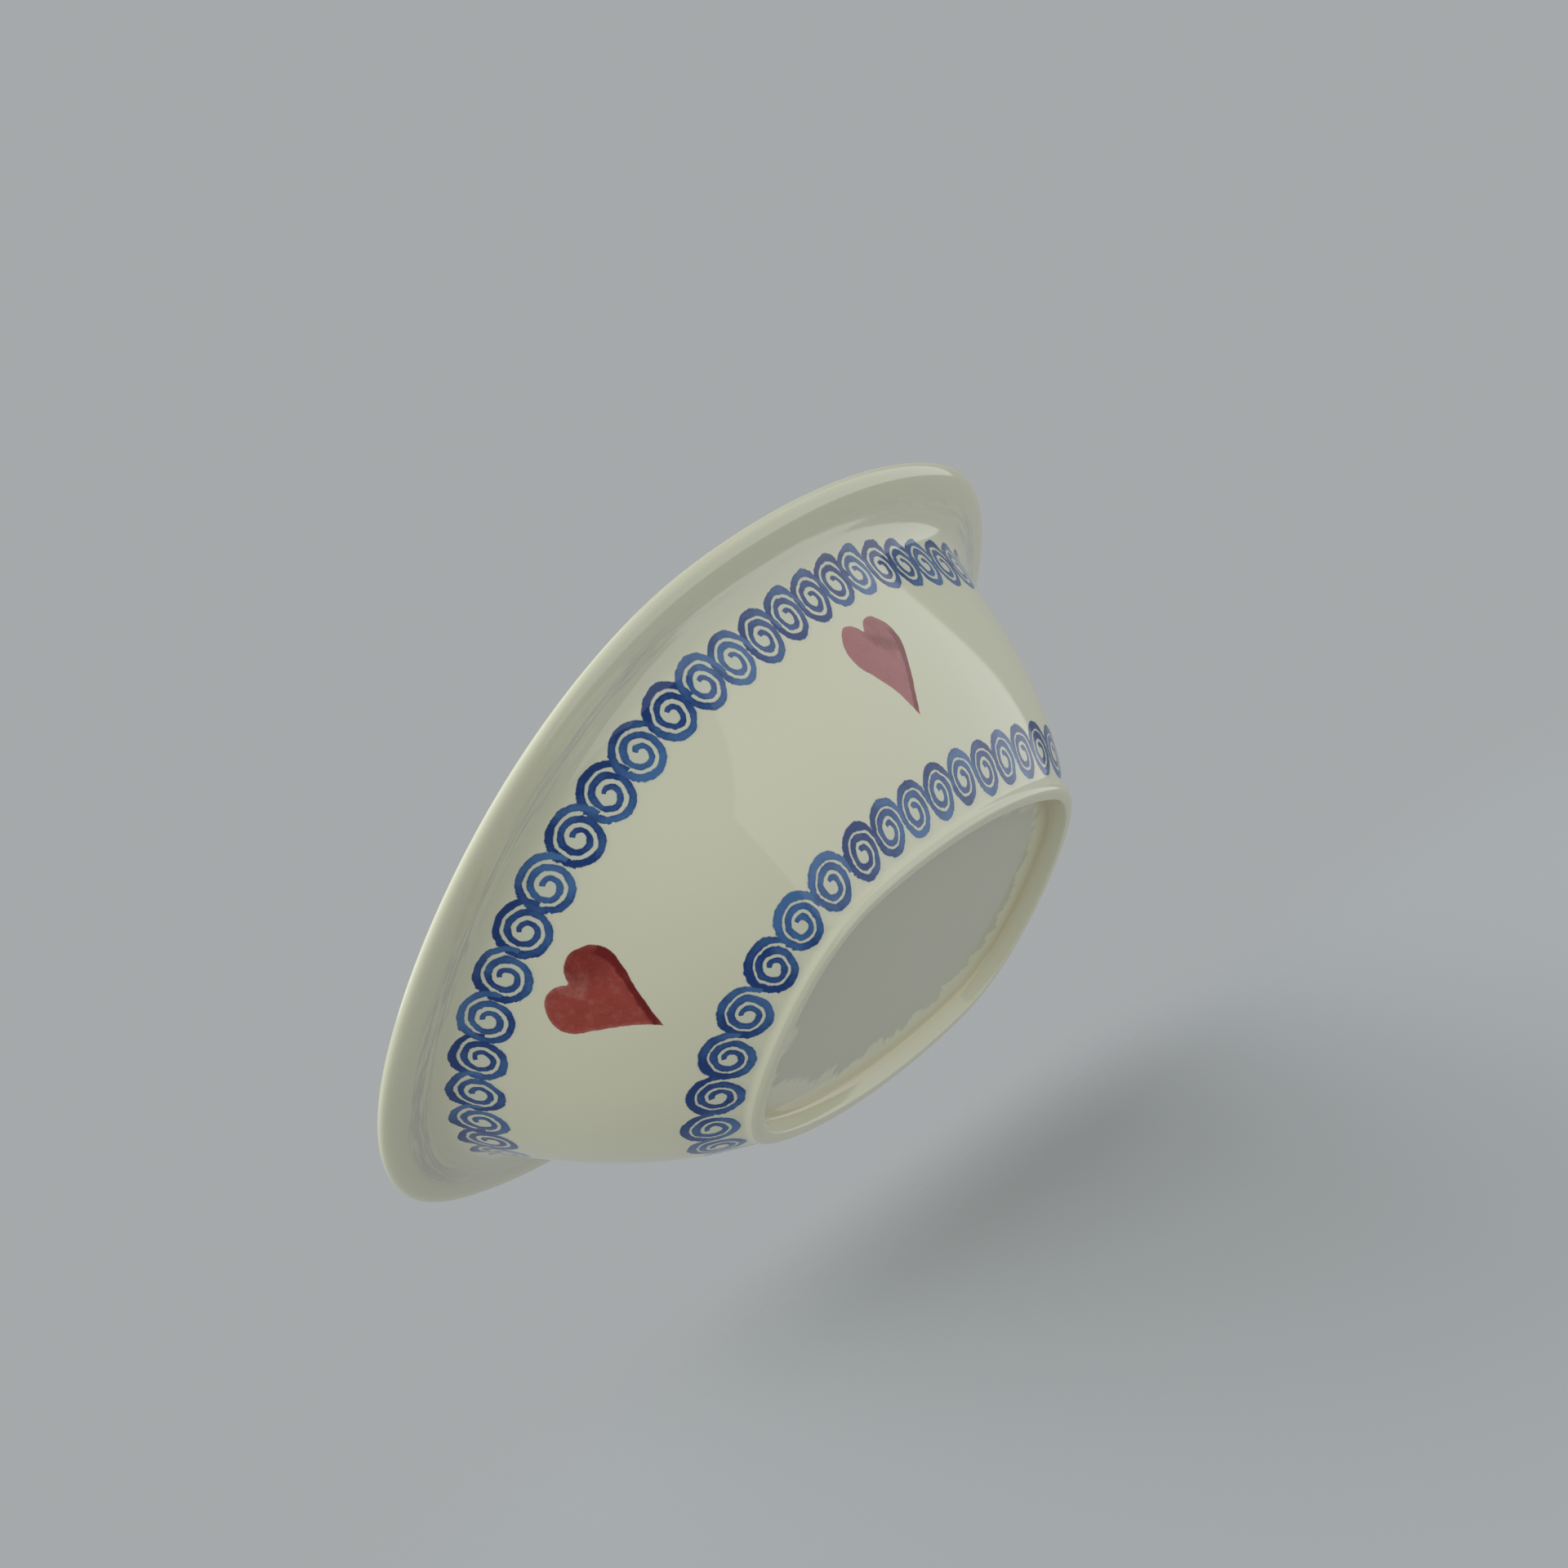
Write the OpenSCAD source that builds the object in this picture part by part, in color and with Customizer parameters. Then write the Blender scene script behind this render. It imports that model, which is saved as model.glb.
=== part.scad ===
// Oval glazed pie dish with a turned-out rim, a foot ring, two running scroll borders and hearts.
// Millimetres. The origin is the middle of the foot ring's underside, +X is the length, +Z is up.
// One cross-section runs round an outline of eight tangent arcs, so every level of the dish is an
// offset of the foot outline.

/* [Overall size] */
// Length over the rim
overall_length = 300; // [250:1:380]
// Width over the rim
overall_width = 227; // [200:1:290]
// Height from the foot to the top of the rim
overall_height = 78.7; // [60:0.1:110]

/* [Outline of the foot] */
// How far the rim reaches out beyond the foot
rim_reach = 64.4; // [56:0.1:72]
// Radius at the four corners
corner_radius = 35.6; // [26:0.1:42]
// Direction at which an end arc meets a corner arc, in degrees
end_angle = 16; // [10:0.5:20]
// Direction at which a corner arc meets a side arc, in degrees
side_angle = 75.5; // [70:0.5:80]

/* [Foot ring] */
// Height of the foot ring's outer side, up to the wall
foot_height = 3.9; // [2.5:0.1:7]
// How far the wall starts outside the foot ring's outer edge
foot_step = 1.6; // [0.8:0.1:4]
// Width of the foot ring, from its outer edge to the recess
foot_ring_width = 3.9; // [3.2:0.1:9]
// Rounding of the foot ring's outer edge
foot_edge_radius = 1.7; // [0.6:0.1:2]
// Rounding of the foot ring's inner edge
recess_edge_radius = 1.1; // [0.4:0.1:1.4]
// Depth of the recess inside the foot ring
recess_depth = 5; // [2.5:0.1:8]
// How far the recess narrows from its mouth to its floor
recess_lean = 1.4; // [0:0.1:4]
// Hollow where the recess meets its floor
recess_fillet = 1.8; // [0.5:0.1:3]

/* [Wall] */
// Thickness of the wall
wall_thickness = 5.2; // [3.5:0.1:8]
// Thickness of the floor
floor_thickness = 5.4; // [4:0.1:9]
// Flare of the wall at the foot, from upright, in degrees
wall_flare_low = 47; // [35:1:58]
// Flare of the wall below the rim, from upright, in degrees
wall_flare_high = 24; // [10:1:34]
// Reach of the flare at the foot along the wall
wall_pull_low = 31; // [15:1:36]
// Reach of the flare at the rim along the wall
wall_pull_high = 24; // [15:1:32]
// Height over which the inside turns up from the floor
floor_blend_height = 17; // [8:1:26]
// Length over which the inside turns up from the floor
floor_blend_length = 26; // [14:1:34]

/* [Rim] */
// Width of the turned-out rim beyond the wall
flange_width = 22.1; // [16:0.1:30]
// How far below the top the wall starts to turn out
flange_drop = 12.7; // [9:0.1:18]
// Width of the round-edged outer part of the rim
flange_edge_width = 11.9; // [7:0.1:14]
// How far below the top that outer part starts
flange_edge_drop = 6.5; // [5:0.1:8]
// Thickness of the rim
flange_thickness = 4.4; // [3.4:0.1:4.8]
// Tilt of the rim's underside, from level, in degrees
flange_tilt = 18; // [8:1:28]
// Distance of the rim's crest in from its edge
lip_inset = 2.2; // [1:0.1:3.6]
// Distance of the rim's widest line below its crest
lip_drop = 2.1; // [1:0.1:3]

/* [Scroll borders] */
// Diameter of one scroll in the upper border
upper_scroll_diameter = 15.8; // [11:0.1:17]
// Diameter of one scroll in the lower border
lower_scroll_diameter = 14.6; // [11:0.1:16]
// Spacing of the scrolls in the upper border
upper_spacing = 14.2; // [12:0.1:18]
// Spacing of the scrolls in the lower border
lower_spacing = 14.1; // [12:0.1:18]
// Distance of the upper border's middle below the top of the wall
upper_border_drop = 4.2; // [2:0.1:9]
// Distance of the lower border's middle above the foot of the wall
lower_border_rise = 7.4; // [6:0.1:12]
// Width of a painted line at the heart of a scroll
line_width_inner = 1.5; // [1:0.1:2]
// Width of a painted line at the outside of a scroll
line_width_outer = 2.2; // [1.2:0.1:2.4]
// Turns in one scroll
scroll_turns = 2.2; // [1.6:0.1:2.6]
// Radius at which a scroll's line starts
scroll_eye = 1.4; // [0.8:0.1:2.2]
// Thickness of the painted colour
paint_thickness = 0.25; // [0.15:0.05:0.4]

/* [Hearts] */
// Width of a heart
heart_width = 26.5; // [14:0.5:30]
// Height of a heart along the wall
heart_height = 31; // [18:0.5:34]
// Distance of a heart's lobes below the upper border
heart_gap = 2.6; // [1:0.1:8]
// How far the side hearts stand from the middle of the long sides
side_heart_shift = 11; // [-30:0.5:30]

/* [Hidden] */
steps = 10;
scroll_steps = 19;
heart_steps = 24;
heart_rings = 3;
glaze_colour = [0.87, 0.85, 0.74];
blue_colour = [0.16, 0.24, 0.5];
red_colour = [0.55, 0.16, 0.14];

// Outline of the foot: half sizes, then the centres and the angles at which the arcs meet
half_length = overall_length / 2 - rim_reach;
half_width = overall_width / 2 - rim_reach;
end_need = half_length - corner_radius;
side_need = half_width - corner_radius;
solve = cos(side_angle) * sin(end_angle) - (1 - sin(side_angle)) * (1 - cos(end_angle));
side_gap = (end_need * sin(end_angle) - side_need * (1 - cos(end_angle))) / solve;
end_gap = (side_need * cos(side_angle) - end_need * (1 - sin(side_angle))) / solve;
end_radius = corner_radius + end_gap;
side_radius = corner_radius + side_gap;
end_centre = [half_length - end_radius, 0];
side_centre = [0, half_width - side_radius];
corner_centre = end_centre + end_gap * [cos(end_angle), sin(end_angle)];
radii = [end_radius, corner_radius, side_radius];
centres = [end_centre, corner_centre, side_centre];
angles = [0, end_angle, side_angle, 90];

// Centre and radius of the arc that faces a direction
function arc_of(a) = let (f = atan2(abs(sin(a)), abs(cos(a))))
    f < end_angle ? 0 : f < side_angle ? 1 : 2;
function outline_point(a, out) = let (k = arc_of(a), c = centres[k])
    [sign(cos(a)) * c.x, sign(sin(a)) * c.y] + (radii[k] + out) * [cos(a), sin(a)];

// Length along the first quarter of the outline at an offset, and the direction found there
function lengths(out) = [for (k = [0:2]) (radii[k] + out) * (angles[k + 1] - angles[k]) * PI / 180];
function quarter(out) = let (l = lengths(out)) l[0] + l[1] + l[2];
function quarter_angle(s, out) = let (l = lengths(out))
    s < l[0] ? s / l[0] * angles[1]
    : s < l[0] + l[1] ? angles[1] + (s - l[0]) / l[1] * (angles[2] - angles[1])
    : angles[2] + (s - l[0] - l[1]) / l[2] * (90 - angles[2]);
function angle_at(s, out) = let (q = quarter(out), w = s - 4 * q * floor(s / (4 * q)),
    k = min(3, floor(w / q)), r = w - k * q)
    k % 2 == 0 ? 90 * k + quarter_angle(r, out) : 90 * (k + 1) - quarter_angle(q - r, out);

// Cross-section: x is the distance out from the foot outline and y is the height
function bow(a, b, c, d, t) = (1 - t) ^ 3 * a + 3 * (1 - t) ^ 2 * t * b + 3 * (1 - t) * t ^ 2 * c
    + t ^ 3 * d;
function bow_points(a, b, c, d, n, first = 0) = [for (i = [first:n]) bow(a, b, c, d, i / n)];
function lean(a) = [sin(a), cos(a)];
function unit(v) = v / norm(v);
function left_of(v) = [-v.y, v.x];

wall_foot = [foot_step, foot_height];
wall_top = [rim_reach - flange_width, overall_height - flange_drop];
edge_start = [rim_reach - flange_edge_width, overall_height - flange_edge_drop];
lip_edge = [rim_reach, overall_height - lip_drop];
lip_crest = [rim_reach - lip_inset, overall_height];
flange_way = lean(90 - flange_tilt);
turn_pull = norm(edge_start - wall_top) * 0.38;
wall_low_pull = wall_foot + wall_pull_low * lean(wall_flare_low);
wall_high_pull = wall_top - wall_pull_high * lean(wall_flare_high);

wall_points = bow_points(wall_foot, wall_low_pull, wall_high_pull, wall_top, 2 * steps);
turn_points = bow_points(wall_top, wall_top + turn_pull * lean(wall_flare_high),
    edge_start - turn_pull * flange_way, edge_start, steps);
edge_points = bow_points(edge_start, edge_start + 0.42 * flange_edge_width * flange_way,
    lip_edge - [0.2, 2.7], lip_edge, steps, 1);
lip_points = bow_points(lip_edge, lip_edge + [0, 0.56 * lip_drop],
    lip_crest + [0.56 * lip_inset, 0], lip_crest, 5, 1);

// The inside follows the outside at the thickness of the wall, easing to that of the rim
outer_run = concat(wall_points, [for (i = [1:steps]) turn_points[i]]);
function ease(i) = i <= 2 * steps ? 0 : (i - 2 * steps) / steps;
function thick(i) = wall_thickness + (flange_thickness - wall_thickness) * ease(i);
function run_way(i) = unit(outer_run[min(i + 1, len(outer_run) - 1)] - outer_run[max(i - 1, 0)]);
inner_run = [for (i = [0:len(outer_run) - 1]) outer_run[i] + thick(i) * left_of(run_way(i))];
floor_top = recess_depth + floor_thickness;
inner_high = [for (p = inner_run) if (p.y > floor_top + floor_blend_height) p];
blend_end = inner_high[0];
blend_way = unit(inner_high[1] - inner_high[0]);
blend_start = [blend_end.x - floor_blend_length, floor_top];
blend_points = bow_points(blend_start, blend_start + [0.5 * floor_blend_length, 0],
    blend_end - 0.62 * floor_blend_height * blend_way, blend_end, steps);
brow_start = inner_high[len(inner_high) - 1];
brow_points = bow_points(brow_start, brow_start + 0.32 * flange_edge_width * flange_way,
    lip_crest - [0.3 * flange_edge_width, 0], lip_crest, 6, 1);

// The floor plate lies inside the swept ring, which starts a little further in
ring_start = min(-foot_ring_width - recess_lean - recess_fillet, blend_start.x) - 2;
plate_edge = ring_start + 1;
ring_mouth = [-foot_ring_width, 0];
ring_root = [-foot_ring_width - recess_lean, recess_depth];
root_way = unit(ring_root - ring_mouth);
foot_bottom = concat(
    bow_points(ring_root - [recess_fillet, 0], ring_root, ring_root,
        ring_root - recess_fillet * root_way, 4),
    bow_points(ring_mouth + recess_edge_radius * root_way, ring_mouth, ring_mouth,
        ring_mouth + [recess_edge_radius, 0], 4),
    bow_points([-foot_edge_radius, 0], [-0.4 * foot_edge_radius, 0], [0.4, 0.4 * foot_edge_radius],
        [0.7, foot_edge_radius], 4),
    [[0.3 * foot_step + 0.5, 0.72 * foot_height]]);
ring_profile = concat([[ring_start, floor_top], [ring_start, recess_depth]], foot_bottom,
    wall_points, [for (i = [1:steps]) turn_points[i]], edge_points, lip_points,
    [for (i = [len(brow_points) - 2:-1:0]) brow_points[i]],
    [for (i = [len(inner_high) - 1:-1:0]) inner_high[i]],
    [for (i = [steps - 1:-1:0]) blend_points[i]]);

// Place on the outside of the wall: a distance up it from its foot, and how far out from it
function run_lengths(i = 0, sum = 0) = i >= len(outer_run) - 1 ? [sum]
    : concat([sum], run_lengths(i + 1, sum + norm(outer_run[i + 1] - outer_run[i])));
run_marks = run_lengths();
wall_length = run_marks[2 * steps];
function run_step(v) = max([0, for (i = [0:len(outer_run) - 2]) if (v >= run_marks[i]) i]);
function wall_place(v, out) = let (i = run_step(v),
    a = outer_run[i], w = unit(outer_run[i + 1] - a))
    a + (v - run_marks[i]) * w - out * left_of(w);
function on_dish(s, v, at, lift) = let (a = angle_at(s, at), p = wall_place(v, lift))
    concat(outline_point(a, p.x), [p.y]);

// Each arc is placed in a coarse and a fine step, so that neighbouring arcs meet exactly
module place(v) {
    coarse = [for (x = v) round(x * 10) / 10];
    translate(coarse) translate(v - coarse) children();
}

module arc_ring(k, from, to, flip) {
    place([flip.x * centres[k].x, flip.y * centres[k].y])
        rotate_extrude(angle = to - from, start = from, $fn = 360)
            place([radii[k], 0]) polygon(ring_profile);
}

module dish() {
    color(glaze_colour) union() {
        translate([0, 0, recess_depth]) linear_extrude(floor_thickness)
            polygon([for (a = [0:5:355]) outline_point(a + 0.01, plate_edge)]);
        for (q = [0, 2]) {
            arc_ring(0, 90 * q - end_angle, 90 * q + end_angle, [1 - q, 1 - q]);
            arc_ring(2, 90 * q + side_angle, 90 * q + 180 - side_angle, [1 - q, 1 - q]);
            arc_ring(1, 90 * q + end_angle, 90 * q + side_angle, [1 - q, 1 - q]);
            arc_ring(1, 90 * q + 180 - side_angle, 90 * q + 180 - end_angle, [q - 1, 1 - q]);
        }
    }
}

// One painted line: a low ridge along a spiral, tapered at both ends
function scroll_radius(t, size) = scroll_eye
    + (size / 2 - line_width_outer / 2 - scroll_eye) * t / (scroll_turns - 0.2);
function scroll_way(t) = 115 - 360 * t;
function scroll_half(t) = (line_width_inner + (line_width_outer - line_width_inner)
    * t / scroll_turns) / 2
    * (t < 0.15 ? 0.6 + t * 2.7 : t > scroll_turns - 0.25 ? 0.5 + (scroll_turns - t) * 2 : 1);
function scroll_spot(t, side, size) = let (r = scroll_radius(t, size) + side * scroll_half(t))
    r * [cos(scroll_way(t)), sin(scroll_way(t))];

module scroll(s, v, at, size) {
    rows = [for (i = [0:scroll_steps]) let (t = scroll_turns * i / scroll_steps,
        l = scroll_spot(t, -1, size), m = scroll_spot(t, 0, size), r = scroll_spot(t, 1, size))
        [on_dish(s + l.x, v + l.y, at, 0), on_dish(s + m.x, v + m.y, at, paint_thickness),
            on_dish(s + r.x, v + r.y, at, 0)]];
    points = [for (row = rows) for (p = row) p];
    faces = concat([[2, 1, 0]],
        [for (i = [0:scroll_steps - 1]) for (j = [0:2]) let (a = 3 * i + j, b = 3 * i + (j + 1) % 3)
            for (f = [[b, a + 3, a], [b + 3, a + 3, b]]) f],
        [[3 * scroll_steps, 3 * scroll_steps + 1, 3 * scroll_steps + 2]]);
    polyhedron(points, faces);
}

module scroll_border(v, spacing, size, first) {
    at = wall_place(v, 0).x;
    round_length = 4 * quarter(at);
    count = round(round_length / spacing);
    color(blue_colour) for (i = [0:count - 1])
        scroll((i + first) * round_length / count, v, at, size);
}

module upper_scroll_border() {
    scroll_border(wall_length - upper_border_drop, upper_spacing, upper_scroll_diameter, 0);
}

module lower_scroll_border() {
    scroll_border(lower_border_rise, lower_spacing, lower_scroll_diameter, 0.6);
}

// One heart: rings of its own outline about its middle, with its tip toward the foot
function heart_edge(a) = [heart_width / 2 * sin(a) ^ 3,
    heart_height * ((13 * cos(a) - 4 * cos(2 * a) - 2 * cos(3 * a) - 0.5 * cos(4 * a)) / 26 + 0.096)];

module heart(s, v) {
    at = wall_place(v, 0).x;
    spots = concat([[0, 0]], [for (r = [1:heart_rings]) for (i = [0:heart_steps - 1])
        heart_edge(360 * i / heart_steps) * r / heart_rings]);
    layer = len(spots);
    points = [for (lift = [0, paint_thickness]) for (p = spots)
        on_dish(s + p.x, v + p.y, at, lift)];
    function near(r, i) = r == 0 ? 0 : 1 + (r - 1) * heart_steps + i % heart_steps;
    skin = [for (r = [0:heart_rings - 1]) for (i = [0:heart_steps - 1])
        for (f = r == 0 ? [[0, near(1, i), near(1, i + 1)]]
            : [[near(r, i), near(r + 1, i), near(r + 1, i + 1)],
                [near(r, i), near(r + 1, i + 1), near(r, i + 1)]]) f];
    rim = [for (i = [0:heart_steps - 1]) let (a = near(heart_rings, i), b = near(heart_rings, i + 1))
        for (f = [[a, b, a + layer], [b, b + layer, a + layer]]) f];
    polyhedron(points, concat([for (f = skin) [f[2], f[1], f[0]]], rim,
        [for (f = skin) [for (k = f) k + layer]]));
}

module painted_hearts() {
    heart_rise = wall_length - upper_border_drop - upper_scroll_diameter / 2 - heart_gap
        - heart_height / 2;
    at = wall_place(heart_rise, 0).x;
    side = quarter(at);
    color(red_colour) for (s = [0, side - side_heart_shift, 2 * side, 3 * side - side_heart_shift])
        heart(s, heart_rise);
}

dish();
upper_scroll_border();
lower_scroll_border();
painted_hearts();
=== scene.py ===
import math
import bpy
import numpy as np
from mathutils import Matrix, Vector


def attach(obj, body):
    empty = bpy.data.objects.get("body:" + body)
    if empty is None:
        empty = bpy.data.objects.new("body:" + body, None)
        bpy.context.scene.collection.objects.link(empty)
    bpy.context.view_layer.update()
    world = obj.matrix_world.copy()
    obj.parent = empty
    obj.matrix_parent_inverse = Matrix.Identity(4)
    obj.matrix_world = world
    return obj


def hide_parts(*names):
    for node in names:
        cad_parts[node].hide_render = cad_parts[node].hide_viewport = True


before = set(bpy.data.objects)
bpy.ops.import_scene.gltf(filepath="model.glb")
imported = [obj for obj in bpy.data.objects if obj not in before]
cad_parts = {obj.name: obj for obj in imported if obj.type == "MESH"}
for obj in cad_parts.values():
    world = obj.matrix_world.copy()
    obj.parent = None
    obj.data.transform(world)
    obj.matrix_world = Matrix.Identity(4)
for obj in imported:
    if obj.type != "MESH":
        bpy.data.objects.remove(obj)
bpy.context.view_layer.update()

print("frame loaded, nodes:", sorted(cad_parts))


class Wire:  # one value, vector or colour on its way through a shader
    def __init__(self, paint, socket):
        self.paint, self.socket = paint, socket

    def maths(self, operation, *values, clamp=False):
        return self.paint.node("ShaderNodeMath", {"operation": operation, "use_clamp": clamp},
                               dict(enumerate(values)))

    def __add__(self, other): return self.maths("ADD", self, other)
    def __radd__(self, other): return self.maths("ADD", other, self)
    def __sub__(self, other): return self.maths("SUBTRACT", self, other)
    def __rsub__(self, other): return self.maths("SUBTRACT", other, self)
    def __mul__(self, other): return self.maths("MULTIPLY", self, other)
    def __rmul__(self, other): return self.maths("MULTIPLY", other, self)
    def __truediv__(self, other): return self.maths("DIVIDE", self, other)
    def __pow__(self, other): return self.maths("POWER", self, other)
    def __mod__(self, other): return self.maths("FLOORED_MODULO", self, other)
    def __abs__(self): return self.maths("ABSOLUTE", self)
    def __gt__(self, other): return self.maths("GREATER_THAN", self, other)
    def __lt__(self, other): return self.maths("LESS_THAN", self, other)

    def top(self, other): return self.maths("MAXIMUM", self, other)
    def low(self, other): return self.maths("MINIMUM", self, other)
    def nearest(self): return self.maths("ROUND", self)
    def clamped(self): return self.maths("ADD", self, 0.0, clamp=True)
    def sine(self): return self.maths("SINE", self)
    def cosine(self): return self.maths("COSINE", self)

    def rise(self, start, end):  # 0 before start, 1 after end, smooth between
        return self.paint.node("ShaderNodeMapRange", {"interpolation_type": "SMOOTHSTEP"},
                               {"Value": self, "From Min": start, "From Max": end})


class Paint:  # the nodes of one material or of the world
    def __init__(self, tree):
        self.tree = tree
        tree.nodes.clear()

    def node(self, kind, settings=None, inputs=None, out=0):
        made = self.tree.nodes.new(kind)
        for key, value in (settings or {}).items():
            if key == "bends":  # the points of a curve, each within 0 to 1
                points = made.mapping.curves[0].points
                while len(points) < len(value):
                    points.new(0.5, 0.5)
                for point, place in zip(points, value):
                    point.location = place
                made.mapping.update()
            else:
                setattr(made, key, value)
        for key, value in (inputs or {}).items():
            if isinstance(value, Wire):
                self.tree.links.new(value.socket, made.inputs[key])
            else:
                made.inputs[key].default_value = value
        return Wire(self, made.outputs[out]) if len(made.outputs) else None

    def split(self, vector):
        first = self.node("ShaderNodeSeparateXYZ", inputs={"Vector": vector})
        return [Wire(self, socket) for socket in first.socket.node.outputs]

    def join(self, x, y, z=0.0):
        return self.node("ShaderNodeCombineXYZ", inputs={"X": x, "Y": y, "Z": z})

    def noise(self, vector, scale, detail=2.0, roughness=0.5, out=0):
        return self.node("ShaderNodeTexNoise", inputs={
            "Vector": vector, "Scale": scale, "Detail": detail, "Roughness": roughness}, out=out)

    def blend(self, factor, first, second):
        return self.node("ShaderNodeMix", {"data_type": "RGBA"},
                         {"Factor": factor, 6: first, 7: second}, out=2)


def newMaterial(name):
    material = bpy.data.materials.new(name)
    material.use_nodes = True
    return material, Paint(material.node_tree)


dish = {  # millimetres and degrees, the same sizes as the solids
    "halfLength": 85.6, "halfWidth": 49.1,  # of the foot's outline
    "radii": (61.97, 35.6, 231.2), "turns": (16.0, 75.5), "soften": 4.0,
    "around": 416, "fine": 7200, "spacing": 30,  # more spacing puts more columns in the bends
    "wallFoot": (1.6, 3.9), "wallTop": (42.3, 66.0), "edgeStart": (52.5, 72.2),
    "lipEdge": (64.4, 76.6), "lipCrest": (62.2, 78.7),
    "leanLow": 47, "leanHigh": 24, "pullLow": 31, "pullHigh": 24, "leanRim": 72,
    "turnPull": 0.38, "edgePull": 0.42, "lipPull": (0.2, 2.7), "lipRound": 0.56,
    "browPulls": (0.32, 0.3),
    "wall": 5.2, "rim": 4.4, "floorTop": 10.4, "blendHeight": 17, "blendLength": 26,
    "blendGap": 1.2, "blendPulls": (13, 0.62),
    "ringRoot": (-5.3, 5.0), "ringMouth": (-3.9, 0.0), "rootFillet": 1.8, "mouthFillet": 1.1,
    "soleBend": ((-1.7, 0), (-0.68, 0), (0.4, 0.68), (0.7, 1.7)),
    "footRise": ((0.82, 2.4), (0.9, 3.2)),
    "floorShares": (0.3, 0.55, 0.75, 0.9), "floorWay": 40,  # both floors' rings round the middle
}


def lean(angle):
    return np.array([math.sin(math.radians(angle)), math.cos(math.radians(angle))])


def bow(a, b, c, d, steps, first=1):  # points along a Bezier curve
    t = (np.arange(first, steps + 1) / steps)[:, None]
    a, b, c, d = (np.array(p, float) for p in (a, b, c, d))
    return (1 - t) ** 3 * a + 3 * (1 - t) ** 2 * t * b + 3 * (1 - t) * t ** 2 * c + t ** 3 * d


def leftOf(points):  # unit normals on the left of a run of points
    way = np.gradient(points, axis=0)
    way /= np.linalg.norm(way, axis=1)[:, None]
    return np.stack([-way[:, 1], way[:, 0]], axis=1)


def makeProfile():
    foot, top = np.array(dish["wallFoot"]), np.array(dish["wallTop"])
    edge, crest = np.array(dish["edgeStart"]), np.array(dish["lipCrest"])
    lip = np.array(dish["lipEdge"])
    pull = dish["turnPull"] * np.linalg.norm(edge - top)
    flange = lip[0] - edge[0]
    low, high, out = lean(dish["leanLow"]), lean(dish["leanHigh"]), lean(dish["leanRim"])

    wallSteps, turnSteps = 60, 14
    wall = bow(foot, foot + dish["pullLow"] * low, top - dish["pullHigh"] * high, top,
               wallSteps, 0)
    bend = bow(top, top + pull * high, edge - pull * out, edge, turnSteps)
    outer = np.concatenate([wall, bend])
    ease = np.concatenate([np.zeros(len(wall)), np.arange(1, turnSteps + 1) / turnSteps])
    thick = dish["wall"] + (dish["rim"] - dish["wall"]) * ease
    inner = outer + thick[:, None] * leftOf(outer)
    inner = inner[inner[:, 1] > dish["floorTop"] + dish["blendHeight"] + dish["blendGap"]]

    edgeRun = bow(edge, edge + dish["edgePull"] * flange * out, lip - dish["lipPull"], lip, 14)
    rounding = dish["lipRound"] * (crest - lip)
    lipRun = bow(lip, lip + (0, rounding[1]), crest - (rounding[0], 0), crest, 7)
    near, far = dish["browPulls"]
    browRun = bow(inner[-1], inner[-1] + near * flange * out, crest - (far * flange, 0), crest,
                  10)
    way = inner[1] - inner[0]
    way /= np.linalg.norm(way)
    start = np.array([inner[0][0] - dish["blendLength"], dish["floorTop"]])
    near, far = dish["blendPulls"]
    blendRun = bow(start, start + (near, 0), inner[0] - far * dish["blendHeight"] * way,
                   inner[0], 18, 0)
    root, mouth = np.array(dish["ringRoot"]), np.array(dish["ringMouth"])
    side = (root - mouth) / np.linalg.norm(root - mouth)
    under = np.concatenate([
        bow(root - (dish["rootFillet"], 0), root, root, root - dish["rootFillet"] * side, 6, 0),
        bow(mouth + dish["mouthFillet"] * side, mouth, mouth, mouth + (dish["mouthFillet"], 0),
            6, 0),
        bow(*dish["soleBend"], 6, 0),
        bow(dish["soleBend"][-1], *dish["footRise"], foot, 4)[:-1]])
    profile = np.concatenate([under, outer, edgeRun, lipRun, browRun[-2::-1], inner[::-1],
                              blendRun[-2::-1]])
    steps = np.linalg.norm(np.diff(profile, axis=0), axis=1)
    climb = np.concatenate([[0], np.cumsum(steps)]) - steps[:len(under)].sum()
    return profile, climb  # climb is the distance up the outside from the wall's foot


def makeOutline():  # the foot's outline by the direction it faces, with softened joints
    count = dish["fine"]
    step = 2 * math.pi / count
    angle = (np.arange(count) + 0.5) * 2 * math.pi / count
    facing = np.degrees(np.arctan2(abs(np.sin(angle)), abs(np.cos(angle))))
    first, second = dish["turns"]
    bend = np.where(facing < first, dish["radii"][0],
                    np.where(facing < second, dish["radii"][1], dish["radii"][2]))
    margin = round(5 * dish["soften"] / 360 * count)
    spread = np.arange(-margin, margin + 1) * 360 / count
    weights = np.exp(-0.5 * (spread / dish["soften"]) ** 2)
    weights /= weights.sum()
    bend = np.convolve(np.concatenate([bend[-margin:], bend, bend[:margin]]), weights, "valid")
    part = angle < math.pi / 2
    sums = [[(f(angle[part]) * g).sum() * step for g in (1, np.cos(2 * angle[part]))]
            for f in (np.sin, np.cos)]
    need = [dish["halfLength"] - (bend * np.sin(angle))[part].sum() * step,
            dish["halfWidth"] - (bend * np.cos(angle))[part].sum() * step]
    change = np.linalg.solve(np.array(sums), np.array(need))
    bend = bend + change[0] + change[1] * np.cos(2 * angle)

    def total(values):
        return np.concatenate([[0], np.cumsum(values) * step])

    return {"angle": np.arange(count + 1) * step, "run": total(bend),
            "x": dish["halfLength"] - total(bend * np.sin(angle)),
            "y": total(bend * np.cos(angle))}


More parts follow.
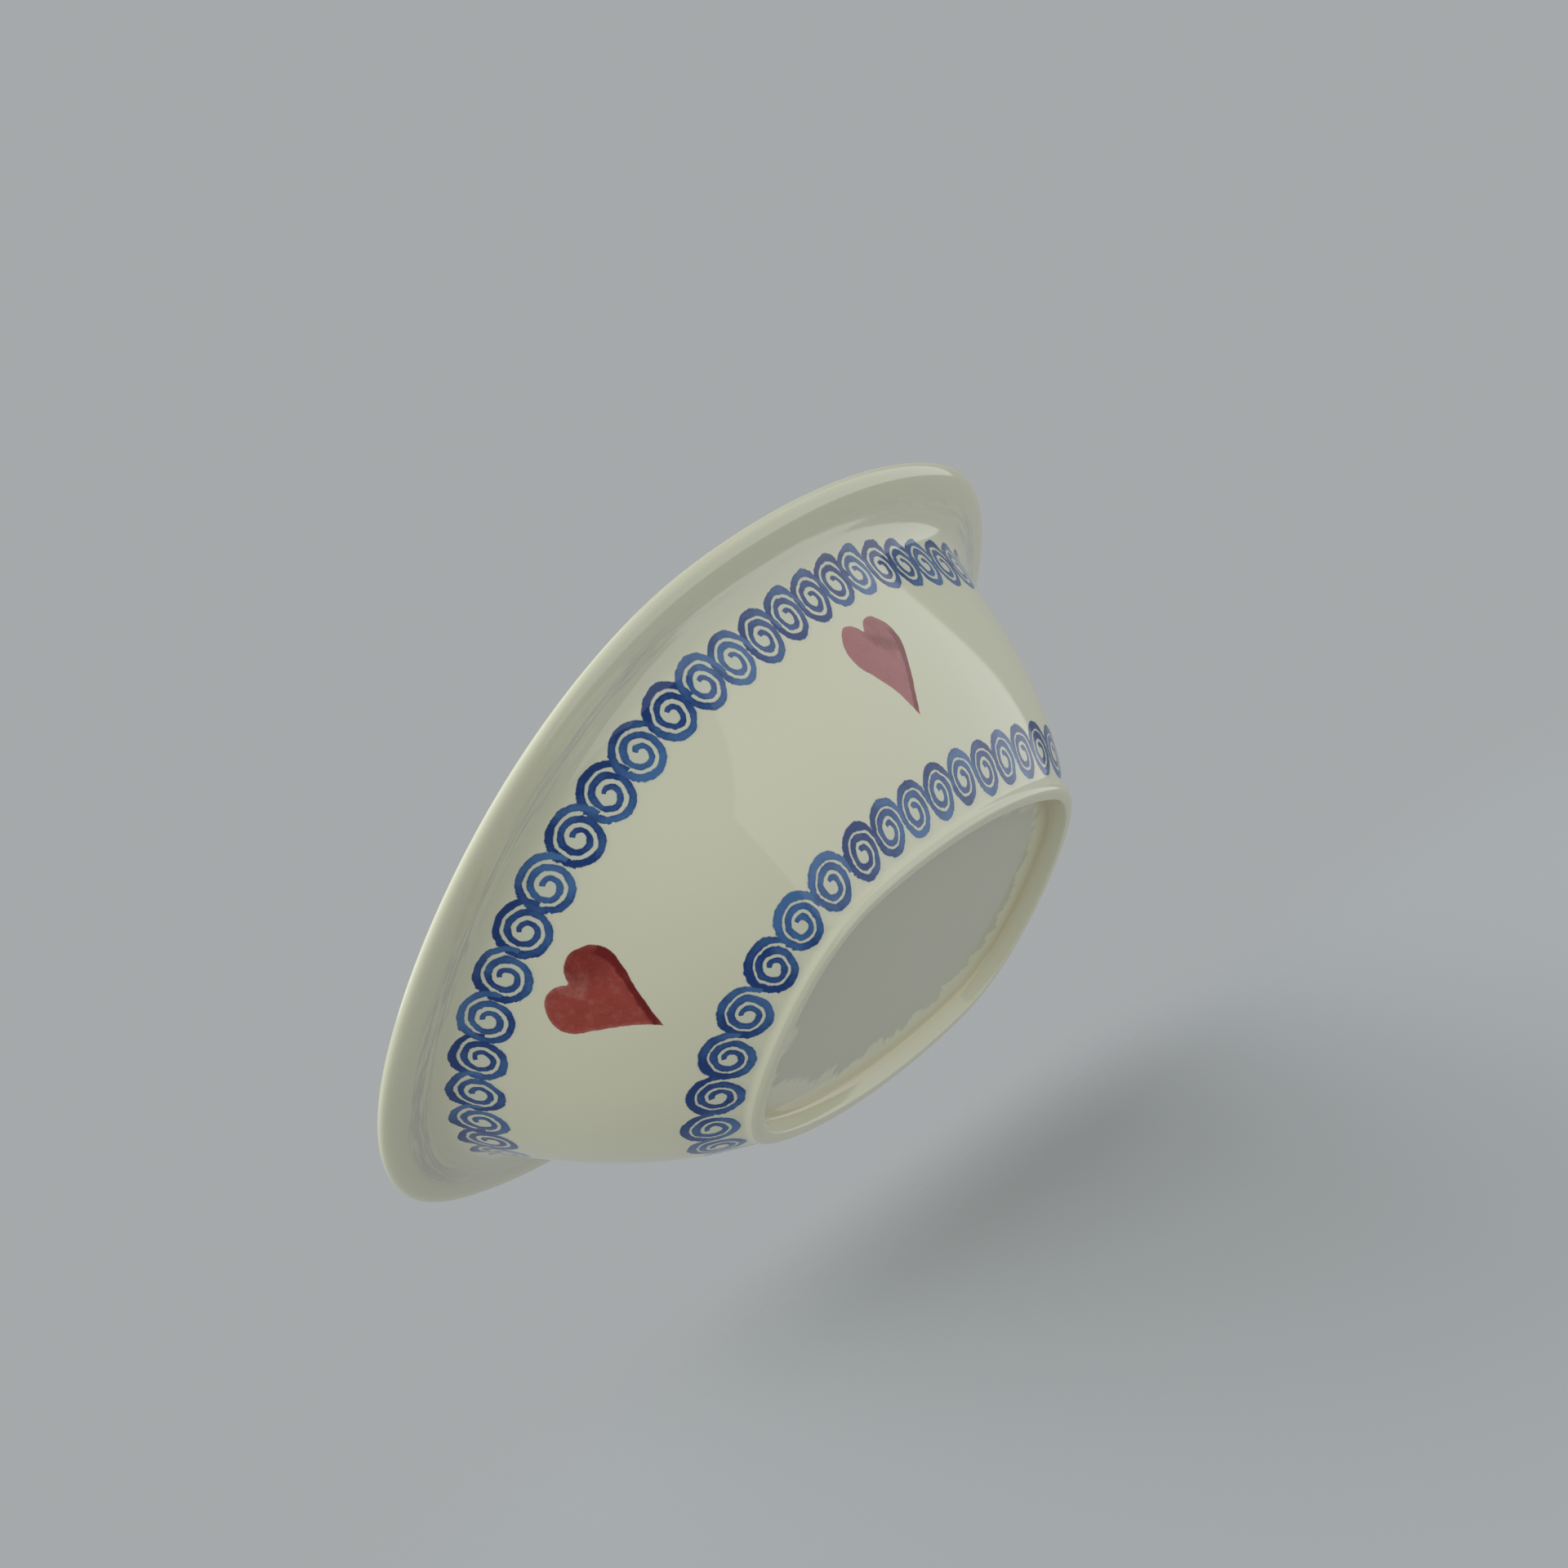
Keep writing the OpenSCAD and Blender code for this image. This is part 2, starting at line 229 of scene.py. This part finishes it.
profile, climb = makeProfile()
outline = makeOutline()
footRun = outline["run"][-1]  # length of the foot's outline
around = dish["around"]
even = outline["run"] + dish["spacing"] * outline["angle"]
turn = np.interp(np.arange(around + 1) / around * even[-1], even, outline["angle"])
columns = {key: np.interp(turn, outline["angle"], outline[key]) for key in ("run", "x", "y")}


def ringAt(out, height, share=1.0):
    x = (columns["x"] + out * np.cos(turn)) * share
    y = (columns["y"] + out * np.sin(turn)) * share
    return np.stack([x, y, np.full_like(x, height)], axis=1)[:-1]


def makeDish():
    shares, floorWay = dish["floorShares"], dish["floorWay"]
    rings, places = [], []
    for share in shares:  # the recess's floor grows out from its middle
        rings.append(ringAt(*profile[0], share))
        places.append((profile[0][0], climb[0] - floorWay * (1 - share)))
    for point, way in zip(profile, climb):
        rings.append(ringAt(*point))
        places.append((point[0], way))
    for share in shares[::-1]:
        rings.append(ringAt(*profile[-1], share))
        places.append((profile[-1][0], climb[-1] + floorWay * (1 - share)))
    centres = np.array([[0, 0, profile[0][1]], [0, 0, profile[-1][1]]])
    points = np.concatenate(rings + [centres]) / 1000
    rows = len(rings)
    column = np.arange(around)
    after = (column + 1) % around
    faces, runCorners, turnCorners = [], [], []
    for row in range(rows - 1):
        low, high = row * around, (row + 1) * around
        faces.append(np.stack([low + column, low + after, high + after, high + column], axis=1))
        at = np.stack([column, column + 1, column + 1, column], axis=1)
        up = np.array([row, row, row + 1, row + 1])
        ways, outs = np.array(places)[up, 1], np.array(places)[up, 0]
        runCorners.append(np.stack([columns["run"][at], np.broadcast_to(ways, at.shape)], -1))
        turnCorners.append(np.stack([turn[at], np.broadcast_to(outs, at.shape)], -1))
    mesh = bpy.data.meshes.new("dishGlazed")
    quads = np.concatenate(faces)
    last = (rows - 1) * around
    caps = [[int(after[i]), int(i), rows * around] for i in column]
    caps += [[int(last + i), int(last + after[i]), rows * around + 1] for i in column]
    mesh.from_pydata(points.tolist(), [], quads.tolist() + caps)
    capWays = np.repeat([[0.0, -0.2], [0.0, 0.3]], 3 * around, axis=0)  # recess, inner floor
    for name, corners, size in (("run", runCorners, (1000, 1000)),
                                ("turn", turnCorners, (2 * math.pi, 1000))):
        layer = mesh.uv_layers.new(name=name)
        flat = np.concatenate(corners).reshape(-1, 2) / np.array(size)
        layer.data.foreach_set("uv", np.concatenate([flat, capWays]).astype(np.float32).ravel())
    mesh.polygons.foreach_set("use_smooth", np.ones(len(mesh.polygons), bool))
    mesh.update()
    made = bpy.data.objects.new("dishGlazed", mesh)
    bpy.context.scene.collection.objects.link(made)
    return made


dishPiece = makeDish()
print("dish mesh:", len(dishPiece.data.vertices), "points")


def offsetAt(way):  # how far outside the foot's outline a place on the wall lies
    return float(np.interp(way, climb, profile[:, 0]))


scrolls = {  # sponged scrolls: sizes in millimetres, angles in degrees
    "lower": {"count": 35, "middle": 7.5, "first": 0.6, "eye": 1.4, "grow": 2.62, "tall": 1.12},
    "upper": {"count": 50, "middle": 70.4, "first": -0.08, "eye": 1.45, "grow": 2.95,
              "tall": 1.04},
    "parting": 40, "within": (-2.6, 84),  # heights up the wall: between the borders, round both
    "scales": {"rag": 900, "wobble": 260, "cloud": 190, "grain": 1400},
    "start": 115, "line": 0.74, "swell": 0.19, "edge": (-0.16, 0.18), "sway": 1.5,
    "laps": 2.0, "tail": 0.33, "taper": (2.1, 2.36), "thin": 0.5,  # the line's outer end
    "hole": 0.9, "inside": (6.8, 8.6),  # bare in the middle, a bluish haze inside a dab
    "stray": (0.8, 1.2), "wobble": 1.1, "tilt": 0.22,  # how much each dab differs
    "fray": (0.5, 1.5), "frayed": (3.5, 6.5),
    "tone": {"least": 0.3, "chance": 0.55, "light": 0.38, "edge": 0.22},
    "lightWay": (4.0, 2.4), "lightFrom": (0.6, 2.1),
    "shares": {"tone": 1.3, "cloud": 1.4, "grain": 0.45, "dark": 1.18},
    "navy": (0.0, 0.03, 0.152, 1), "blue": (0.047, 0.135, 0.31, 1),
    "haze": (0.27, 0.39, 0.44, 1), "hazed": 0.16,
}


def layScrolls(paint, place, run, way, facing):
    scales, tones, shares = scrolls["scales"], scrolls["tone"], scrolls["shares"]
    isUpper = way > scrolls["parting"]
    pick = {}
    for key in ("count", "middle", "first", "eye", "grow", "tall"):
        a, b = scrolls["lower"][key], scrolls["upper"][key]
        pick[key] = isUpper * (b - a) + a
    offsets = [offsetAt(scrolls[name]["middle"]) for name in ("lower", "upper")]
    offset = isUpper * (offsets[1] - offsets[0]) + offsets[0]
    pitch = (footRun + offset * (2 * math.pi)) / pick["count"]
    along = (run + offset * facing) / pitch - pick["first"]
    sway = isUpper * scrolls["sway"] * (run * (8 * math.pi / footRun)).cosine()
    rag = paint.noise(place, scales["rag"], 2)
    wobble = [(part - 0.5) * scrolls["wobble"]
              for part in paint.split(paint.noise(place, scales["wobble"], 1, out=1))[:2]]

    dabs = []
    for neighbour in (-1, 0, 1):  # each place may be reached by three dabs
        cell = along.nearest() + neighbour
        seed = cell % pick["count"] + isUpper * 100
        chance = paint.split(paint.node("ShaderNodeTexWhiteNoise", {"noise_dimensions": "1D"},
                                        {"W": seed}, out=1))
        x = (along - cell) * pitch + (chance[0] - 0.5) * scrolls["stray"][0] + wobble[0]
        y = way - pick["middle"] - sway + (chance[1] - 0.5) * scrolls["stray"][1] + wobble[1]
        tilt = (chance[2] - 0.5) * scrolls["tilt"]
        x, y = x - y * tilt, (y + x * tilt) / pick["tall"]
        radius = (x * x + y * y) ** 0.5
        angle = y.maths("ARCTAN2", y, x)
        base = (math.radians(scrolls["start"]) - angle) / (2 * math.pi) % 1.0
        lap = ((radius - pick["eye"]) / pick["grow"] - base).nearest().top(0.0)
        lap = lap.low(scrolls["laps"] - (base > scrolls["tail"]))  # ends during its third lap
        t = lap + base
        far = abs(radius - pick["eye"] - pick["grow"] * t)
        half = scrolls["line"] + scrolls["swell"] * t - scrolls["thin"] * t.rise(*scrolls["taper"])
        least, most = scrolls["fray"]  # the sponge's left edge frays
        fray = least + most * (0 - x).rise(*scrolls["frayed"]) * chance[1]
        line = 1 - (far - half + (rag - 0.5) * fray).rise(*scrolls["edge"])
        line = line * (radius > scrolls["hole"])
        light = (angle - chance[2] * scrolls["lightWay"][0] + scrolls["lightWay"][1]).cosine()
        mood = chance[0] * tones["chance"] + tones["least"]
        mood = mood + light * t.rise(*scrolls["lightFrom"]) * tones["light"]
        mood = mood - (far / half) ** 2.0 * tones["edge"]
        dabs.append((line, mood * line, 1 - radius.rise(*scrolls["inside"])))
    ink, tone, haze = (a.top(b).top(c) for a, b, c in zip(*dabs))

    onWall = (way > scrolls["within"][0]) * (way < scrolls["within"][1])
    cloud = paint.noise(place, scales["cloud"], 2)
    grain = paint.noise(place, scales["grain"], 1)
    lightness = tone * shares["tone"] + cloud * shares["cloud"] + grain * shares["grain"]
    blue = paint.blend((lightness - shares["dark"]).clamped(), scrolls["navy"], scrolls["blue"])
    return ink * onWall, blue, haze * onWall * scrolls["hazed"]


hearts = {  # brushed hearts: edges in millimetres along and up the wall, from a heart's tip
    "offset": 30, "lead": 5.5, "shift": 10.1, "drop": 0.5, "tip": 28.4, "lowest": 27.8,
    "width": (-13, 19), "height": (27, 63),
    "left": ((28.4, 0.1), (33.5, -1.5), (39, -4), (45, -7.5), (48.5, -9.8), (51.2, -10.6),
             (54.5, -10), (57.5, -7.9), (59.5, -5.2), (60.3, -2.75)),
    "right": ((28.4, 0.1), (34.5, 5), (40.5, 10), (45.5, 14), (49, 15.9), (51.2, 16.25),
              (54, 15.7), (57, 13.4), (58.5, 11.6), (59.1, 9.5)),
    "crown": ((-10.6, 51.2), (-10, 54.5), (-7.9, 57.5), (-5.2, 59.5), (-2.75, 60.2), (0, 59.3),
              (2, 57.6), (3.25, 56.1), (4.5, 57.2), (6.5, 58.5), (9.5, 59), (11.6, 58.5),
              (13.4, 57), (15.7, 54), (16.25, 51.2)),
    "sideSlant": 0.156, "sideWidth": 1.005, "sideTilt": 0.07, "sideMiddle": 2,
    "scales": {"wander": 170, "grain": 1100, "mottle": 330, "brush": 8},
    "wander": 0.8, "edge": (-0.12, 0.3), "edgeGrain": 0.5, "brushWay": (0.05, 0.02, 3.1),
    "stroke": {"wide": (2.0, 3.4), "rough": 2.4, "start": (28.5, 31), "end": (50.5, 54.5)},
    "lobe": {"at": (2.5, 52), "slope": 0.35, "wide": (-1, 6), "start": (45, 52), "sideLoss": 0.7},
    "band": {"at": (4, 52.5), "slope": 0.6, "wide": (0.6, 4), "rough": 3, "start": (0, 5)},
    "bare": {"at": (3.4, 54.2), "wide": (3, 30)}, "rub": {"wide": (0.2, 1.8), "share": 0.4},
    "paleShares": {"bare": 0.55, "mottle": 1.5, "grain": 0.7, "brush": 0.8},
    "darkShares": {"lobe": 0.55, "band": 0.6, "mottle": 0.9, "brush": 0.5},
    "sideReflectionShares": (0.9, 0.45, 0.22),  # painted reflection on the long sides' hearts: the share of the pinker red, its loss on the lobe, the loss of the dark
    "red": (0.285, 0.04, 0.026, 1), "deep": (0.13, 0.0, 0.0, 1),
    # side: the pinker red of the long sides' hearts, a painted reflection of a soft lamp in the
    # glaze
    "pale": (0.37, 0.135, 0.105, 1), "side": (0.34, 0.118, 0.122, 1),
}


def heartEdge(paint, points, value, start, end):
    (a, b), (c, d) = start, end
    bends = [((x - a) / (b - a), (y - c) / (d - c)) for x, y in points]
    curve = paint.node("ShaderNodeFloatCurve", {"bends": bends}, {"Value": (value - a) / (b - a)})
    return curve * (d - c) + c


def layHearts(paint, place, run, way, facing):
    scales = hearts["scales"]
    quarter = (footRun + 2 * math.pi * hearts["offset"]) / 4
    along = run + hearts["offset"] * facing
    which = (along / quarter + hearts["lead"] / quarter).nearest()
    isSide = which % 2.0  # 0 on the ends, 1 on the long sides
    wander = [(part - 0.5) * hearts["wander"]
              for part in paint.split(paint.noise(place, scales["wander"], 2, out=1))[:2]]
    x = along - which * quarter + isSide * hearts["shift"] + wander[0]
    y = way + wander[1] - isSide * hearts["drop"]
    wider = x * (1 / hearts["sideWidth"] - 1)
    x = x + isSide * (hearts["sideSlant"] * (y - hearts["tip"]) + wider)
    y = y - isSide * hearts["sideTilt"] * (x - hearts["sideMiddle"])
    left = x - heartEdge(paint, hearts["left"], y, hearts["height"], hearts["width"])
    right = heartEdge(paint, hearts["right"], y, hearts["height"], hearts["width"]) - x
    crown = heartEdge(paint, hearts["crown"], x, hearts["width"], hearts["height"]) - y
    inner = left.low(right).low(crown)
    grain = paint.noise(place, scales["grain"], 3, 0.6)
    inked = (inner + (grain - 0.5) * hearts["edgeGrain"]).rise(*hearts["edge"])
    inked = inked * (y > hearts["lowest"])

    # brush strokes: a dark one down the right edge, a loaded right lobe, a paler notch and rim
    ways = hearts["brushWay"]
    brush = paint.noise(paint.join(x * ways[0], y * ways[1], isSide * ways[2]),
                        scales["brush"], 3)
    mark = hearts["stroke"]
    stroke = 1 - (right + (brush - 0.5) * mark["rough"]).rise(*mark["wide"])
    stroke = stroke * y.rise(*mark["start"]) * (1 - y.rise(*mark["end"]))
    mark = hearts["lobe"]
    lobe = (x - mark["at"][0] + mark["slope"] * (y - mark["at"][1])).rise(*mark["wide"])
    lobe = lobe * y.rise(*mark["start"]) * (1 - isSide * mark["sideLoss"])
    mark = hearts["band"]
    band = y - mark["at"][1] + mark["slope"] * (x - mark["at"][0]) + (brush - 0.5) * mark["rough"]
    band = (1 - abs(band).rise(*mark["wide"])) * x.rise(*mark["start"]) * isSide
    mark = hearts["bare"]
    bare = 1 - ((x - mark["at"][0]) ** 2.0 + (y - mark["at"][1]) ** 2.0).rise(*mark["wide"])
    mark = hearts["rub"]
    rub = (1 - inner.rise(*mark["wide"])) * (1 - stroke) * mark["share"]
    mottle = paint.noise(place, scales["mottle"], 5, 0.75)

    # painted reflection: hearts on the long sides turn pinker and their dark marks weaker, as
    # under a soft lamp's reflection in the glaze
    reflectionPink, lobeLoss, reflectionDarkLoss = hearts["sideReflectionShares"]
    red = paint.blend(isSide * (reflectionPink - lobeLoss * lobe), hearts["red"], hearts["side"])
    part = hearts["paleShares"]
    pale = bare * part["bare"] * (1 - isSide) + rub + (mottle - 0.5) * part["mottle"]
    pale = pale + (grain - 0.5) * part["grain"] + (brush - 0.5) * part["brush"]
    red = paint.blend(pale.clamped(), red, hearts["pale"])
    part = hearts["darkShares"]
    dark = stroke + lobe * part["lobe"] + band * part["band"] + (0.5 - mottle) * part["mottle"]
    dark = (dark + (brush - 0.5) * part["brush"]).clamped()
    red = paint.blend(dark * (1 - reflectionDarkLoss * isSide), red, hearts["deep"])
    return inked, red


glaze = {
    "cream": (0.602, 0.612, 0.468, 1), "creamWarm": (0.606, 0.6, 0.44, 1),
    # bare: the grey of a thin line round the foot ring's rounded sole
    "pooled": (0.56, 0.5, 0.3, 1), "bare": (0.42, 0.42, 0.37, 1),
    # under: the recess floor's darker, greyer colour, a painted shade and painted reflection
    "under": (0.45, 0.452, 0.352, 1), "reflectionGrey": (0.36, 0.375, 0.37, 1),
    "speck": (0.07, 0.06, 0.05, 1),
    "pool": {"at": -1.2, "wide": (0.6, 4.2), "share": 0.6},  # from the recess's corner
    "soleLine": {"at": 4.6, "wide": (0.15, 0.55), "share": 0.3},  # from the ring's underside
    # painted shade and painted reflection: how far the recess's floor is painted darker and
    # greyer, reaching further on one long side
    "shadedRecess": {"noise": (6.4, 0.03), "reach": 20, "least": 2, "uneven": (0.75, 0.25),
                "soft": (0, 1.6), "share": 0.85},
    "flow": (1.6, 0.16),
    # painted reflection: grey streaks, standing in for reflections in the glaze's ripples, lie
    # along the flange's neck and fade on the long sides
    "reflectionStreaks": {"noise": (3.2, 0.42), "drift": 2.2, "neck": 88, "sway": 5, "wide": (1.5, 5),
                "thin": (0.015, 0.075), "fade": (0.8, 1), "faded": 0.8, "share": 0.5},
    "specks": {"scale": 55, "size": (0.012, 0.022), "above": 0.82, "share": 0.75},
    "smooth": 0.045, "dull": 0.085, "swell": 0.09, "recess": 0.05, "inkDepth": 0.004,
    "ripple": 0.045, "rippleLeast": 0.005, "rippleRise": (66, 74), "rippleEnd": (84, 98),
    "scales": {"warmth": 14, "swell": 26, "recess": 75, "polish": 60}, "refraction": 1.46,
}


def makeGlaze():
    scales = glaze["scales"]
    material, paint = newMaterial("creamGlaze")
    run, way, _ = paint.split(paint.node("ShaderNodeUVMap", {"uv_map": "run"}))
    facing, _, _ = paint.split(paint.node("ShaderNodeUVMap", {"uv_map": "turn"}))
    run, way, facing = run * 1000, way * 1000, facing * (2 * math.pi)
    sine = facing.sine()
    place = paint.node("ShaderNodeTexCoord", out=3)
    lapped = run * (2 * math.pi / footRun)
    ring = [lapped.cosine(), lapped.sine()]

    def wrapped(size, height):  # a place for noise that closes on itself round the dish
        return paint.join(ring[0] * size, ring[1] * size, height)

    # the cream: darker and greyer on the recess's floor as painted shade and painted reflection,
    # warmer where the glaze pools in the recess's corner, greyer in a thin line on the foot's edge
    rootWay, soleWay = float(climb[3]), float(climb[10])  # the middles of the ring's fillets
    cream = paint.blend(paint.noise(place, scales["warmth"], 2), glaze["cream"],
                        glaze["creamWarm"])
    # painted shade and painted reflection: past a ragged edge the recess's floor turns darker and
    # greyer
    mark = glaze["shadedRecess"]
    reached = paint.noise(wrapped(mark["noise"][0], way * mark["noise"][1]), 1, 4, 0.65)
    reached = reached * (mark["uneven"][0] - sine * mark["uneven"][1]) * mark["reach"]
    recessShade = (rootWay - way - (reached - mark["least"])).rise(*mark["soft"])
    cream = paint.blend(recessShade * mark["share"], cream, glaze["under"])
    mark = glaze["pool"]
    pooled = 1 - abs(way - rootWay - mark["at"]).rise(*mark["wide"])
    cream = paint.blend(pooled * mark["share"], cream, glaze["pooled"])
    # a thin greyer line round the foot ring's rounded sole
    mark = glaze["soleLine"]
    onSoleLine = 1 - abs(way - soleWay - mark["at"]).rise(*mark["wide"])
    cream = paint.blend(onSoleLine * mark["share"], cream, glaze["bare"])
    flow = paint.noise(wrapped(glaze["flow"][0], way * glaze["flow"][1]), 1, 3)
    # painted reflection: grey streaks along the flange's neck, in place of reflections in the
    # rippled glaze
    mark = glaze["reflectionStreaks"]
    height = way * mark["noise"][1] + flow * mark["drift"]
    streakNoise = paint.noise(wrapped(mark["noise"][0], height), 1, 4, 0.6)
    onNeck = 1 - abs(way - mark["neck"] + (flow - 0.5) * mark["sway"]).rise(*mark["wide"])
    reflectionStreaks = (1 - abs(streakNoise - 0.5).rise(*mark["thin"])) * onNeck
    reflectionStreaks = reflectionStreaks * (1 - abs(sine).rise(*mark["fade"]) * mark["faded"])
    cream = paint.blend(reflectionStreaks * mark["share"], cream, glaze["reflectionGrey"])
    mark = glaze["specks"]
    cell, lot = (paint.node("ShaderNodeTexVoronoi", inputs={
        "Vector": place, "Scale": mark["scale"]}, out=out) for out in (0, 1))
    specks = (1 - cell.rise(*mark["size"])) * (paint.split(lot)[0] > mark["above"])

    blueInk, blue, haze = layScrolls(paint, place, run, way, facing)
    redInk, red = layHearts(paint, place, run, way, facing)
    colour = paint.blend(haze, cream, scrolls["haze"])
    colour = paint.blend(blueInk, colour, blue)
    colour = paint.blend(redInk, colour, red)
    colour = paint.blend(specks * mark["share"], colour, glaze["speck"])

    # the glaze's surface: long soft swells, ripples that follow the rim, a wavy recess
    swell = paint.noise(place, scales["swell"], 1)
    onRim = way.rise(*glaze["rippleRise"]) * (1 - way.rise(*glaze["rippleEnd"]))
    height = swell * glaze["swell"] + flow * (glaze["rippleLeast"] + glaze["ripple"] * onRim)
    height = height + paint.noise(place, scales["recess"], 2) * glaze["recess"] * (way < rootWay)
    height = height - blueInk.top(redInk) * glaze["inkDepth"]
    bump = paint.node("ShaderNodeBump", inputs={"Strength": 1.0, "Distance": 0.001,
                                                "Height": height})
    polish = paint.noise(place, scales["polish"], 3)
    roughness = polish * (glaze["dull"] - glaze["smooth"]) + glaze["smooth"]
    shader = paint.node("ShaderNodeBsdfPrincipled", inputs={
        "Base Color": colour, "Roughness": roughness, "IOR": glaze["refraction"],
        "Normal": bump})
    paint.node("ShaderNodeOutputMaterial", inputs={"Surface": shader})
    return material


dishPiece.data.materials.append(makeGlaze())
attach(dishPiece, "root")
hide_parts("dish", "upper_scroll_border", "lower_scroll_border", "painted_hearts")
print("glaze laid")


studio = {  # metres and watts; the photograph's floor leans against the dish's rim
    "backColour": (0.38, 0.398, 0.406, 1), "floorTone": (0.96, 1, 1.02), "reach": 4,
    "uprightShade": 0.415, "leaningShade": 0.45, "leaningEnd": (-0.05, -0.001),
    "evens": (0.3, 0.75),  # how far out a floor turns into the background's plain colour
    "upWay": (0, 0.920, 0.3915), "touch": (0, -0.1135, 0.0766),
    "airColour": (0.97, 0.99, 1, 1), "lampColour": (0.97, 0.985, 1.0), "least": 0.07,
    "frontWay": (0.788, 0.532, 0.309), "frontRise": (-0.1, 1.3), "front": 1.5,
    "bounceRise": (0.0, 0.9), "bounce": 0.09,  # light thrown up by the floor
    # for the side that the photograph hides
    "fillWay": (-0.1, -0.97, 0.22), "fillRise": (0.2, 1.0), "fill": 0.75,
}


def makeFloor(name, corners, shade, leans):
    mesh = bpy.data.meshes.new(name)
    mesh.from_pydata(corners, [], [(0, 1, 2, 3)])
    floor = bpy.data.objects.new(name, mesh)
    bpy.context.scene.collection.objects.link(floor)
    material, paint = newMaterial(name)
    colour = tuple(part * shade for part in studio["floorTone"])
    plain = paint.node("ShaderNodeBsdfDiffuse", inputs={"Color": (*colour, 1)})
    even = paint.node("ShaderNodeEmission", inputs={"Color": studio["backColour"]})
    clear = paint.node("ShaderNodeBsdfTransparent")
    x, y, z = paint.split(paint.node("ShaderNodeNewGeometry"))
    far = ((x * x + y * y + z * z) ** 0.5).rise(*studio["evens"])
    plain = paint.node("ShaderNodeMixShader", inputs={0: far, 1: plain, 2: even})
    gone = paint.node("ShaderNodeNewGeometry", out=6)  # nothing shows from behind
    if leans:  # it ends in a soft edge at the height of the dish's foot
        gone = gone.top(z.rise(*studio["leaningEnd"]))
    shown = paint.node("ShaderNodeMixShader", inputs={0: gone, 1: plain, 2: clear})
    paint.node("ShaderNodeOutputMaterial", inputs={"Surface": shown})
    mesh.materials.append(material)
    for ray in ("diffuse", "glossy", "transmission", "shadow", "volume_scatter"):
        setattr(floor, "visible_" + ray, False)


reach = studio["reach"]
corners = [(-reach, -reach), (reach, -reach), (reach, reach), (-reach, reach)]
makeFloor("floorUpright", [(a, b, 0) for a, b in corners], studio["uprightShade"], False)
touch, sideWay = Vector(studio["touch"]), Vector((1, 0, 0))
deepWay = Vector(studio["upWay"]).cross(sideWay)
makeFloor("floorLeaning", [tuple(touch + sideWay * a + deepWay * b) for a, b in corners],
          studio["leaningShade"], True)


lamps = {  # soft boxes of about the same brightness
    "lampSide": {"place": (-0.867, 0.908, -0.82), "shift": (-0.05, -0.19), "size": (2.6, 2.28),
                 "power": 16.4, "roll": 15},
    "lampTop": {"place": (0.2, -0.1, 1.6), "shift": (0, 0), "size": (2.0, 2.0), "power": 15,
                "roll": 0},
}
for name, lamp in lamps.items():
    light = bpy.data.lights.new(name, "AREA")
    light.shape, light.energy = "RECTANGLE", lamp["power"]
    light.size, light.size_y = lamp["size"]
    light.color = studio["lampColour"]
    shining = bpy.data.objects.new(name, light)
    bpy.context.scene.collection.objects.link(shining)
    back = Vector(lamp["place"]).normalized()
    right = Vector(studio["upWay"]).cross(back).normalized()
    up = back.cross(right)
    turned = Matrix.Rotation(math.radians(lamp["roll"]), 3, back)
    right, up = turned @ right, turned @ up
    spot = Vector(lamp["place"]) + right * lamp["shift"][0] + up * lamp["shift"][1]
    shining.matrix_world = Matrix.Translation(spot) @ Matrix(
        (right, up, back)).transposed().to_4x4()

world = bpy.data.worlds.new("studioAir")
bpy.context.scene.world = world
world.use_nodes = True
sky = Paint(world.node_tree)
front, upward, fill = (sky.node("ShaderNodeVectorMath", {"operation": "DOT_PRODUCT"},
                                {0: sky.node("ShaderNodeTexCoord"), 1: studio[key]}, out=1)
                       for key in ("frontWay", "upWay", "fillWay"))
level = front.rise(*studio["frontRise"]) * studio["front"] + studio["least"]
level = level + (0 - upward).rise(*studio["bounceRise"]) * studio["bounce"]
level = level + fill.rise(*studio["fillRise"]) * studio["fill"]
air = sky.node("ShaderNodeBackground", inputs={"Color": studio["airColour"], "Strength": level})
behind = sky.node("ShaderNodeBackground", inputs={"Color": studio["backColour"], "Strength": 1.0})
seen, glossy, through = (sky.node("ShaderNodeLightPath", out=out) for out in (0, 3, 6))
mixed = sky.node("ShaderNodeMixShader",
                 inputs={0: seen.top(glossy).top(through), 1: air, 2: behind})
sky.node("ShaderNodeOutputWorld", inputs={"Surface": mixed})
print("floor, lamps and world set")

view = {  # the photograph's camera, in metres and millimetres
    "lens": 98.303, "sensor": 36, "spot": (1.02523, 0.53946, -0.31589), "clip": (0.01, 100),
    "right": (-0.46889, 0.34265, -0.81408), "up": (-0.24064, 0.83725, 0.49101),
}
camera = bpy.data.objects.new("camera", bpy.data.cameras.new("camera"))
bpy.context.scene.collection.objects.link(camera)
camera.data.lens, camera.data.sensor_width = view["lens"], view["sensor"]
camera.data.clip_start, camera.data.clip_end = view["clip"]
right = Vector(view["right"])
back = right.cross(Vector(view["up"])).normalized()
up = back.cross(right).normalized()
camera.matrix_world = Matrix.Translation(view["spot"]) @ Matrix(
    (right, up, back)).transposed().to_4x4()
bpy.context.scene.camera = camera
bpy.context.scene.view_settings.view_transform = "Standard"
